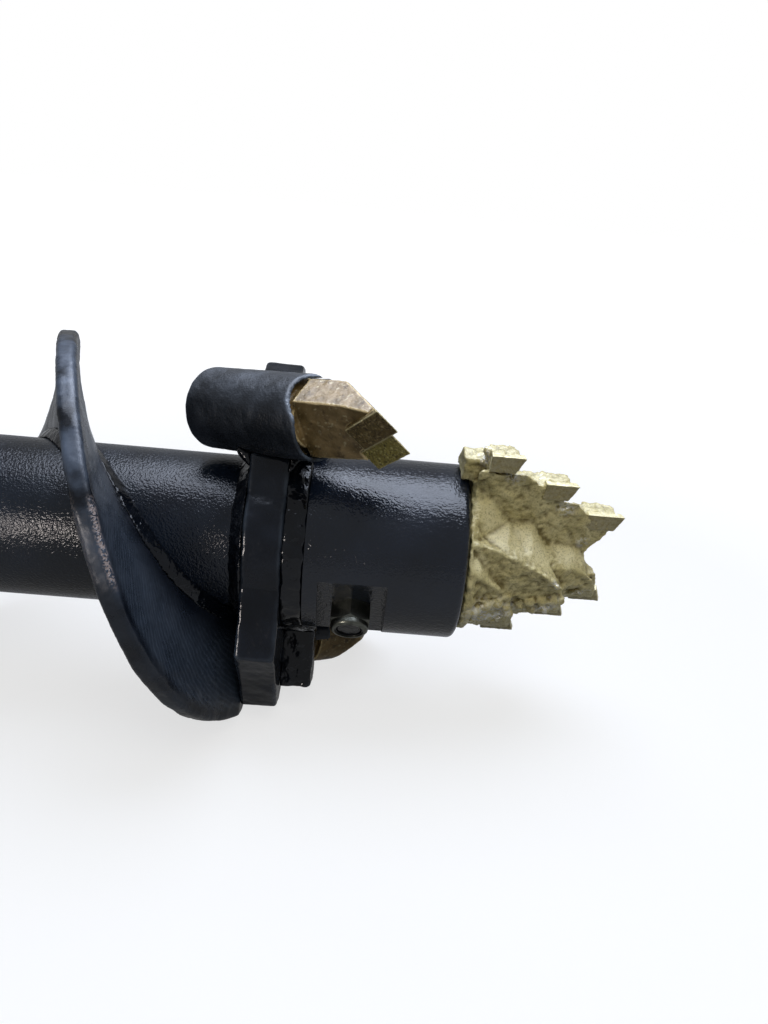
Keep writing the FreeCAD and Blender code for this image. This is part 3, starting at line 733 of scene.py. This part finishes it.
def makeFlight():
    look = flightPiece
    obj = remesh(uprightCopy("flightPlate", "flight"), look["voxel"], look["rounds"])
    roughen(obj, look["waveSize"], look["waveDepth"])
    points, outward = spots(obj)
    clock, radius = clockAndRadius(points)
    chipFoot = look["rimRadius"] - look["chipReach"]
    corner = band(np.abs(outward[:, 0]), (0.2, 0.45), (0.9, 0.99))  # between the rim and the faces
    chip = ramp(radius, chipFoot - 1.0, chipFoot) * corner * band(clock, *look["chipClocks"])
    setNumbers(obj, "chip", chip * np.where(outward[:, 0] > 0, 1.0, look["backChip"]))
    # painted reflection along the rim: weaker on the faces and on the lower half
    face, lower = look["faceReflectionShare"], look["lowerReflectionShare"]
    rimReflectionShare = face + (1.0 - face) * ramp(radius, *look["rimReflectionRadii"])
    setNumbers(obj, "paintedRimReflection", rimReflectionShare * (lower + (1.0 - lower) * ramp(clock, *look["rimReflectionClocks"])))
    setNumbers(obj, "scuff", ramp(outward[:, 0], 0.0, 0.6) * band(radius, *look["scuffRadii"]))
    turn = np.radians((clock + look["seamClock"]) % 360.0)
    across = radius + look["streakDrift"] * turn + look["streakBend"] * turn ** 2
    flat = np.stack((across * mm, turn * look["streakRadius"] * mm), axis=1)
    corners = np.empty(len(obj.data.loops), int)
    obj.data.loops.foreach_get("vertex_index", corners)
    obj.data.uv_layers.new(name="aroundAndOut").uv.foreach_set("vector", flat[corners].ravel())
    layPiece(obj, "flight", finish["flight"])


# weld beads: the step from one scale to the next, the scales' depth and that of broad lumps
flightBead = {"voxel": 1.0, "rounds": 8, "step": 6.5, "depth": 0.12, "lump": 0.4}
pocketBead = {"voxel": 0.8, "rounds": 5, "step": 7.0, "depth": 0.25, "lump": 1.5}
weldPieces = {
    "flight_weld_front": flightBead,
    "flight_weld_rear": flightBead,
    "head_plate_weld_front": {"voxel": 1.1, "rounds": 8, "step": 9.0, "depth": 0.25, "lump": 1.4},
    "head_plate_weld_rear": {"voxel": 1.0, "rounds": 8, "step": 9.0, "depth": 0.25, "lump": 1.2},
    "pocket_weld_front_a": pocketBead,
    "pocket_weld_front_b": pocketBead,
    "pocket_weld_rear_a": pocketBead,
    "pocket_weld_rear_b": pocketBead,
}
beadPath = {
    "tubeRadius": 55.0,  # of the seams round the tube
    "pocketRadius": 28.0,
    "slant": 0.35,
    "scaleMiddle": 0.4,
    "lumpSize": 14.0,
}


def makeWeld(nodeName, look):
    # a hand-laid bead: scales along the seam and broad lumps under thick enamel
    obj = remesh(uprightCopy(nodeName.replace("_", "-"), nodeName), look["voxel"], look["rounds"])
    points, outward = spots(obj)
    offset, seamRadius = points, beadPath["tubeRadius"]
    if "pocket" in nodeName:
        offset, seamRadius = points - points.mean(axis=0), beadPath["pocketRadius"]
    along = np.arctan2(offset[:, 2], -offset[:, 1]) * seamRadius + points[:, 0] / mm * beadPath["slant"]
    scale = 1.0 - np.abs(np.sin(math.pi * along / look["step"]))
    swell = (beadPath["scaleMiddle"] - scale) * look["depth"]
    swell += cloudAt(points, beadPath["lumpSize"], 2) * look["lump"]
    movePoints(obj, points + outward * (swell * mm)[:, None])
    layPiece(obj, nodeName, finish["weld"])


# cast, forged and sintered pieces: the size and depth of their skin's grain
backingBlock = {"voxel": 0.8, "rounds": 8, "grain": 9.0, "depth": 0.7, "slot": "black_enamel",
                "finish": "weld"}
forgedTooth = {"voxel": 0.7, "rounds": 2, "grain": 5.0, "depth": 0.25, "slot": "tooth_gold",
               "finish": "tooth"}
outerTip = {"voxel": 0.4, "rounds": 2, "grain": 2.5, "depth": 0.25, "slot": "carbide",
            "finish": "carbideBrown"}
innerTip = {"voxel": 0.4, "rounds": 2, "grain": 2.5, "depth": 0.25, "slot": "carbide",
            "finish": "carbide"}
castPieces = {
    "head_plate": {"voxel": 1.1, "rounds": 5, "grain": 15.0, "depth": 0.5, "slot": "black_enamel",
                   "finish": "plate"},
    "tooth_pocket_a": {"voxel": 0.9, "rounds": 4, "grain": 7.0, "depth": 0.25, "slot": "black_enamel",
                       "finish": "cast"},
    "tooth_pocket_b": {"voxel": 0.9, "rounds": 4, "grain": 7.0, "depth": 0.25, "slot": "black_enamel",
                       "finish": "plate"},
    "backing_block_a": backingBlock,
    "backing_block_b": backingBlock,
    "tooth_a": forgedTooth,
    "tooth_b": forgedTooth,
    "tooth_tip_outer_a": outerTip,
    "tooth_tip_outer_b": outerTip,
    "tooth_tip_inner_a": innerTip,
    "tooth_tip_inner_b": innerTip,
}
edgeWear = {
    "rounds": 4,
    "reach": (0.08, 0.3),  # how far an edge stands out of the skin, in voxels, where it is rubbed and gets a painted highlight
}


def makeCasting(nodeName, look):
    obj = remesh(uprightCopy(nodeName.replace("_", "-"), nodeName), look["voxel"], look["rounds"])
    # edges that stand out: rubbed and given a painted highlight
    standsOut = -hollows(obj, edgeWear["rounds"]) / look["voxel"]
    setNumbers(obj, "edge", ramp(standsOut, *edgeWear["reach"]))
    roughen(obj, look["grain"], look["depth"])
    layPiece(obj, nodeName, finish[look["finish"]])


# The pilot's places are (ahead of the socket's face, up, towards the viewer) on the upright head.
pilotPiece = {
    "voxel": 1.0,
    "rounds": 2,
    "grain": 2.2,
    "depth": 0.5,
    "chunkSize": 6.0,
    "chunkDepth": 1.15,
    "smoothSkin": 0.85,  # how much of the grain the smooth spots lose
    "smoothShine": 0.8,
    "hollowRounds": 10,
    "hollowReach": 0.7,
    # the clock of each wing's middle plane
    "wingA": 48.0,
    "wingB": 228.0,
    # the posts' ends lean back: start, end, how far behind the wing, least radius, pull
    "leaningEnds": [(22.0, 51.0, 44.0, 27.0, 8.6), (54.0, 83.5, 38.0, 25.0, 11.0),
                    (76.0, 105.0, 18.5, 0.0, 10.0)],
    # the viewer's side of the casting is cut to flat facets between these marks
    "marks": {
        "stripTop": (1.0, 45.5, 27.0), "strip1": (1.0, 32.5, 39.0), "strip2": (1.0, 21.0, 45.5),
        "strip3": (1.5, 8.0, 50.0), "strip4": (2.5, -2.6, 51.0),
        "inner1": (3.0, 33.0, 42.0), "inner2": (4.5, 21.4, 45.0), "inner3": (6.3, 12.5, 46.5),
        "v1": (2.0, 43.5, 43.0), "v2": (13.1, 36.1, 41.5), "v3": (25.2, 27.0, 36.5),
        "v4": (40.6, 23.0, 33.0), "v5": (50.6, 12.4, 26.5), "v6": (71.7, 10.7, 21.5), "v7": (80.0, 4.7, 16.5),
        "e1": (26.3, 23.1, 33.5), "e2": (9.9, 10.8, 40.5),
        "c2a": (2.9, 6.3, 50.5), "c2b": (15.0, 5.2, 48.5), "c2c": (24.7, 1.3, 47.0),
        "c2d": (32.6, -2.3, 45.5), "c2e": (41.9, -6.0, 43.5), "c2f": (51.6, -10.9, 41.0),
        "c2g": (59.0, -15.1, 38.5),
        "g1": (53.0, 2.9, 31.0), "g2": (58.1, -7.9, 33.0),
        "l1": (14.0, -9.0, 40.0), "l2": (23.7, -18.3, 33.0), "l3": (30.6, -24.4, 29.0),
        "l4": (43.5, -24.8, 25.0), "l5": (58.6, -22.3, 25.0),
        "r1a": (3.5, 2.7, 47.0), "r1b": (3.3, -10.4, 50.0), "r1c": (13.2, -15.0, 45.0),
        "r1d": (22.6, -19.3, 39.5), "r1e": (7.8, -28.4, 35.0), "r1f": (20.1, -28.0, 30.0),
        "c3d": (54.4, -5.3, 31.5), "c3e": (68.7, -4.4, 29.5), "c3f": (80.0, -7.5, 26.0),
        "c3g": (87.0, -11.9, 21.0),
        "m1": (63.7, -16.3, 24.0), "m2": (71.4, -19.9, 17.0), "m3": (88.6, -17.1, 14.0),
        "heelFoot": (9.0, 49.0, 56.0), "a1Foot": (29.0, 51.0, 58.0), "notch1": (44.0, 43.5, 51.5),
        "a2Foot": (62.0, 39.0, 47.0), "notch2": (75.0, 30.0, 39.0), "a3Foot": (79.0, 20.0, 30.0),
    },
    "facets": [
        "stripTop strip1 inner1 v1", "strip1 strip2 inner2 inner1", "strip2 strip3 inner3 inner2",
        "strip3 c2a e2 inner3", "strip3 strip4 r1a c2a",
        "inner1 inner2 v2 v1", "inner2 inner3 e2", "inner2 e2 e1 v2", "v2 e1 v3",
        "e2 c2a c2b", "e2 c2b c2c e1", "e1 c2c c2d", "e1 c2d c2e v4 v3", "v4 c2e g1 v5", "c2e c2f g2 g1",
        "c2f c2g g2",
        "c2a c2b l1 r1a", "c2b c2c c2d l2 l1", "c2d c2e l4 l3 l2", "c2e c2f c2g l5 l4",
        "strip4 r1b r1a", "r1a r1b r1c l1", "r1c r1d l2 l1", "r1b r1e r1f r1d r1c", "r1d r1f l3 l2",
        "v5 g1 c3e v6", "g1 g2 c3d c3e", "g2 c2g m1 c3d", "v6 c3e c3f v7", "c3d m1 m2 c3e", "c3e m2 m3 c3f",
        "c3f m3 c3g",
        "v2 heelFoot v1", "v2 v3 a1Foot heelFoot", "v3 v4 notch1 a1Foot", "v4 v5 a2Foot notch1",
        "v5 v6 a3Foot notch2 a2Foot", "v6 v7 a3Foot",
    ],
    "facetReach": 22.0,  # how far in front of a facet the casting may stand and still be cut
    "facetTurn": 0.35,  # and how far its skin may face away from the viewer
    # rough lumps in the notches before the second and third tip of wing A, the web under its heel, and
    # the end of its last post: ahead, behind the rake face, out
    "notchLumps": [
        [(20, -8, 50), (43.3, -7.6, 50), (25, -8, 67), (43.3, -7.6, 67.5), (26, 8, 66), (43.3, 8, 65.5),
         (22, 9, 45), (43.3, 9, 45)],
        [(54, -7, 30), (74.3, -7.6, 30), (58, -7, 45.5), (74.3, -7.6, 46.3), (58, 6, 44), (74.3, 6, 44.5),
         (56, 7, 28), (74.3, 7, 28)],
        [(1.5, -9, 76), (12, -9, 76), (1.5, -9, 50), (16, -9, 50), (1.5, 0, 50), (12, 0, 70)],
        [(74, -8.5, 47), (94, -8.5, 46.5), (89.7, -8.5, 32.7), (82.1, -8.5, 22.9), (79, -8.5, 13.6),
         (68, -8.5, 12), (74, 6, 44), (91, 6, 44), (86, 6, 32), (79, 6, 23), (76, 6, 14), (68, 6, 12)],
    ],
    # the run of braze and casting skin over the front of wing B's first two posts
    "bottomLumps": [
        [(3, -30, 33), (24, -27, 32), (34, -33, 22), (34, -44, 5), (8, -47, 7), (3, -40, 22)],
        [(38, -26, 25), (64, -24, 22), (66, -33, 6), (44, -34, 10), (36, -30, 20)],
    ],
    # how far ahead wing B's last post may reach at each height, and how much less for each millimetre
    # towards the viewer
    "endLine": [(-35, 96.0), (-24, 94.5), (-17, 92.8), (-8.6, 89.5), (-1.3, 83.7), (3.4, 79.5), (7, 80.5),
                (11, 83.0), (18, 90.5), (28, 97.0)],
    "endTop": 27.0,
    "endSlant": 0.15,
    "endMiddle": 14.0,
    # braze and casting lumps: place and radius
    "blobs": [
        (36, 31.5, 36, 4.2), (41, 30, 35, 3.6), (33.5, 34, 37, 3.2), (47, 35, 33, 3.6), (63, 19, 28, 3.0),
        (74, 14, 21, 2.6), (79, 10, 17, 2.6), (10, -34, 30, 4.6), (17, -31, 30.5, 4.0), (24, -29, 30, 3.6),
        (30, -31, 26, 3.8), (33, -36, 18, 3.8), (40, -30, 17, 3.6), (50, -32, 13, 4.0), (58, -31, 12, 4.2),
        (65, -30, 9, 3.8), (46, -27.5, 23, 3.6), (53, -26, 24, 3.6), (60, -25, 23, 4.0), (66, -25, 19, 3.6),
        (59, -15.5, 37.5, 2.2), (82, -18, 4, 3.4), (89, -16, 4, 3.2), (76, -20, 2, 3.2), (6.5, 63, 51, 3.2),
        (7.5, 58, 48, 2.8),
    ],
    # dents pressed in from the viewer's side: path (ahead, up), reach and depth
    "strokes": [([(20, 47), (30, 42)], 8.0, 3.5), ([(48, 42), (60, 30)], 8.0, 3.0),
                ([(72, -19), (78, -18)], 3.5, 5.0), ([(62, 22), (70, 17)], 6.0, 2.0)],
    # place and reach
    "smoothSpots": [(20, 18, 42, 15), (36, 12, 38, 15), (48, 2, 36, 12), (64, 6, 24, 12), (12, 28, 38, 13),
                    (75, 2, 20, 8), (8, -5, 47, 7), (18, -14, 40, 5)],
    "brazeSpots": [(20, -38, 18, 22), (10, -34, 28, 12), (33, -38, 12, 12), (58, -28, 15, 13),
                   (58, -15, 37, 5), (84, -18, 4, 9), (6, 60, 50, 8), (25, 52, 50, 9), (43, 48, 42, 6),
                   (60, 35, 38, 8), (76, 14, 22, 6)],
}


def wingPlace(ahead, up, toward):
    return Vector(((socketFace + ahead) * mm, -toward * mm, up * mm))


def wingSpot(wing, ahead, behind, out):
    # a place on a wing: behind its middle plane, out from the axis
    turn = math.radians(wing)
    up = out * math.sin(turn) + behind * math.sin(turn + math.pi / 2)
    toward = out * math.cos(turn) + behind * math.cos(turn + math.pi / 2)
    return wingPlace(ahead, up, toward)


def pilotPlaces(points):
    # the other way round: ahead, up and toward of every point, in millimetres
    return points[:, 0] / mm - socketFace, points[:, 2] / mm, -points[:, 1] / mm


def addBlock(bm, corners):
    # a block with flat sides through a few given corners
    fresh = [bm.verts.new(corner) for corner in corners]
    made = bmesh.ops.convex_hull(bm, input=fresh)
    loose = [item for item in made["geom_interior"] if isinstance(item, bmesh.types.BMVert)]
    bmesh.ops.delete(bm, geom=loose, context="VERTS")


def nearSpots(points, places):
    # 1 round the middle of each (ahead, up, toward, reach) spot and 0 beyond its reach
    near = np.zeros(len(points))
    for ahead, up, toward, reach in places:
        away = np.linalg.norm(points - np.array(wingPlace(ahead, up, toward)), axis=1) / (reach * mm)
        near = np.maximum(near, np.clip(1.5 - 1.5 * away, 0.0, 1.0))
    return near


def leanPosts(obj, look):
    points = spots(obj)[0]
    turn = math.radians(look["wingB"])
    ahead, up, toward = pilotPlaces(points)
    behind = up * math.sin(turn + math.pi / 2) + toward * math.cos(turn + math.pi / 2)
    radius = np.hypot(up, toward)
    for start, end, crest, least, pull in look["leaningEnds"]:
        share = band(ahead, (start, end - 6.0), (end + 1.0, end + 9.0))
        share = share * ramp(behind, -4.0, crest) * ramp(radius, least - 4.0, least + 1.0)
        points[:, 0] -= share * pull * mm
    movePoints(obj, points)


def pressStrokes(obj, look):
    points, outward = spots(obj)
    seen = ramp(-outward[:, 1], 0.0, 0.3)
    flat = np.stack(pilotPlaces(points)[:2], axis=1)
    for path, reach, depth in look["strokes"]:
        nearest = np.full(len(points), np.inf)
        for first, last in zip(path, path[1:]):
            start = np.array(first, float)
            run = np.array(last, float) - start
            share = np.clip(((flat - start) @ run) / (run @ run), 0.0, 1.0)
            nearest = np.minimum(nearest, np.linalg.norm(flat - start - share[:, None] * run, axis=1))
        fall = np.clip(1.0 - (nearest / reach) ** 2, 0.0, 1.0) ** 1.5
        points[:, 1] += fall * depth * seen * mm
    movePoints(obj, points)


def cutFacets(obj, look):
    # every point that the viewer can see inside a facet is moved onto it
    points, outward = spots(obj)
    ahead, up, toward = pilotPlaces(points)
    target = np.full(len(points), np.nan)
    for facet in look["facets"]:
        first, *others = [look["marks"][name] for name in facet.split()]
        px, py = ahead - first[0], up - first[1]
        for second, third in zip(others, others[1:]):
            ax, ay = second[0] - first[0], second[1] - first[1]
            bx, by = third[0] - first[0], third[1] - first[1]
            area = ax * by - ay * bx
            shareB, shareC = (px * by - py * bx) / area, (ax * py - ay * px) / area
            inside = (shareB >= 0) & (shareC >= 0) & (shareB + shareC <= 1)
            height = first[2] + shareB * (second[2] - first[2]) + shareC * (third[2] - first[2])
            target[inside] = height[inside]
    seen = (outward[:, 1] < look["facetTurn"]) & (toward > target - look["facetReach"])
    points[seen, 1] = -target[seen] * mm
    heights, reaches = zip(*look["endLine"])
    reach = np.interp(up, heights, reaches) + look["endSlant"] * (look["endMiddle"] - toward)
    beyond = (up < look["endTop"]) & (ahead > reach)
    points[beyond, 0] = (socketFace + reach[beyond]) * mm
    movePoints(obj, points)


def makePilot():
    look = pilotPiece
    obj = remesh(uprightCopy("pilotCasting", "pilot_body"), look["voxel"], 0)
    leanPosts(obj, look)
    bm = bmesh.new()
    bm.from_mesh(obj.data)
    for corners in look["notchLumps"]:
        addBlock(bm, [wingSpot(look["wingA"], *corner) for corner in corners])
    bm.to_mesh(obj.data)
    bm.free()
    remesh(obj, look["voxel"], 0)
    cutFacets(obj, look)
    bm = bmesh.new()
    bm.from_mesh(obj.data)
    for corners in look["bottomLumps"]:
        addBlock(bm, [wingPlace(*corner) for corner in corners])
    for ahead, up, toward, radius in look["blobs"]:
        middle = Matrix.Translation(wingPlace(ahead, up, toward))
        bmesh.ops.create_icosphere(bm, subdivisions=2, radius=radius * mm, matrix=middle)
    bm.to_mesh(obj.data)
    bm.free()
    remesh(obj, look["voxel"], look["rounds"])
    pressStrokes(obj, look)
    points, outward = spots(obj)
    smooth = nearSpots(points, look["smoothSpots"])
    skin = cloudAt(points, look["grain"]) * look["depth"] * (1.0 - look["smoothSkin"] * smooth)
    chunks = cloudAt(points, look["chunkSize"]) * look["chunkDepth"] * (1.0 - smooth)
    movePoints(obj, points + outward * ((skin + chunks) * mm)[:, None])
    # dirt and painted shade in the hollows
    setNumbers(obj, "shadeAndDirt", ramp(hollows(obj, look["hollowRounds"]), 0.0, look["hollowReach"]))
    setNumbers(obj, "braze", nearSpots(points, look["brazeSpots"]))
    setNumbers(obj, "rough", 1.0 - look["smoothShine"] * smooth)
    layPiece(obj, "pilot_body", finish["gold"])


pilotTips = {
    "voxel": 0.45,
    "rounds": 3,
    "grain": 2.5,
    "depth": 0.3,
    "hollowRounds": 6,
    "hollowReach": 0.3,
    "undersideShade": 0.75,  # painted shade: how much darker a tip's underside is
    "braze": 0.12,
    "rough": 0.5,
}


def makePilotTip(number):
    look = pilotTips
    nodeName = "pilot_tip_" + number
    tip = remesh(uprightCopy("pilot-tip-" + number, nodeName), look["voxel"], look["rounds"])
    roughen(tip, look["grain"], look["depth"])
    points, outward = spots(tip)
    pitted = ramp(hollows(tip, look["hollowRounds"]), 0.0, look["hollowReach"])
    # painted shade: skin that faces down is darkened, stored with the pits in the same attribute
    undersideShade = look["undersideShade"] * ramp(-outward[:, 2], 0.1, 0.5)
    setNumbers(tip, "shadeAndDirt", np.maximum(pitted, undersideShade))
    setNumbers(tip, "braze", np.full(len(points), look["braze"]))
    setNumbers(tip, "rough", np.full(len(points), look["rough"]))
    layPiece(tip, nodeName, finish["goldTip"])


dressNodes()
print("plain nodes dressed:", len(plainNodes))
makeFlight()
print("flight made")
for nodeName, look in weldPieces.items():
    makeWeld(nodeName, look)
print("welds made:", len(weldPieces))
for nodeName, look in castPieces.items():
    makeCasting(nodeName, look)
print("castings, teeth and plates made:", len(castPieces))
makePilot()
for number in ("a1", "a2", "a3", "b1", "b2", "b3"):
    makePilotTip(number)
print("pilot and its tips made")
